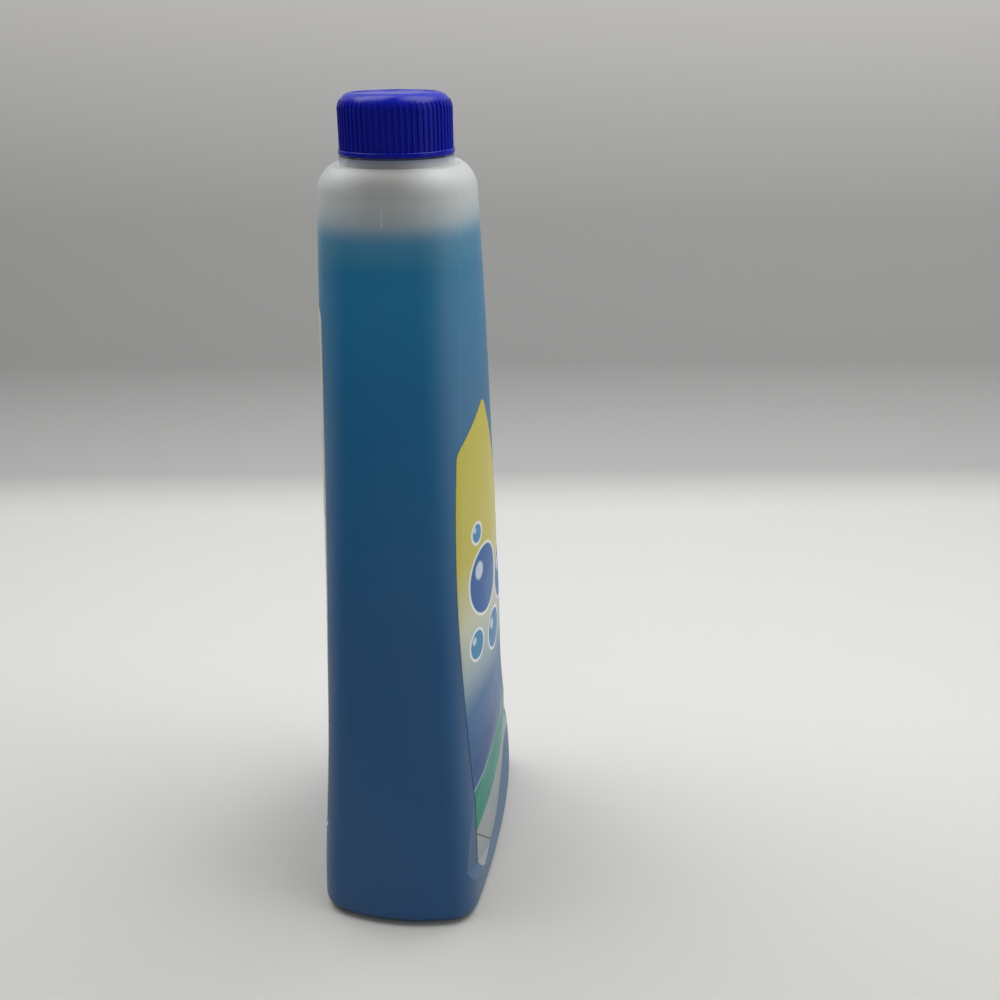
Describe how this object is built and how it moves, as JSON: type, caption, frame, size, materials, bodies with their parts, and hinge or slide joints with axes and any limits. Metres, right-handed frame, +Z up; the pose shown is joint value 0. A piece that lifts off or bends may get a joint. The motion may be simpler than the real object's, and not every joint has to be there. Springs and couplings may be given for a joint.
{
  "type": "floor cleaner bottle",
  "caption": "Tall wedge-shaped translucent plastic bottle of blue floor cleaner, narrowing upwards, with a ribbed blue screw cap, a sail-shaped front label and a back label.",
  "frame": {"origin": "middle of the base, on the floor", "axes": "+Z up along the neck, X across the labels, front label faces -Y"},
  "size_m": [0.1038, 0.062, 0.266],
  "materials": {
    "natural_hdpe": "satin, translucent, blow-moulded",
    "blue_cap": "satin gloss, injection-moulded",
    "liner_foam": "matte foamed disc",
    "blue_cleaner": "clear blue liquid",
    "front_print": "printed film, satin",
    "back_print": "printed film, satin"
  },
  "bodies": {
    "bottle": {"bottle": "natural_hdpe", "cleaning_liquid": "blue_cleaner", "front_label": "front_print", "back_label": "back_print"},
    "liner": {"cap_liner": "liner_foam"},
    "cap": {"cap": "blue_cap"}
  },
  "joints": [
    {"name": "cap_rise", "type": "slide", "parent": "bottle", "child": "liner", "axis": [0, 0, 1], "range_m": [0, 0.017]},
    {"name": "cap_turn", "type": "hinge", "parent": "liner", "child": "cap", "pos_m": [0, 0, 0.25], "axis": [0, 0, 1], "range_deg": [0, 1440]}
  ],
  "couplings": [
    {"joint": "cap_rise", "follows": "cap_turn", "m_per_rad": 0.00067376}
  ]
}
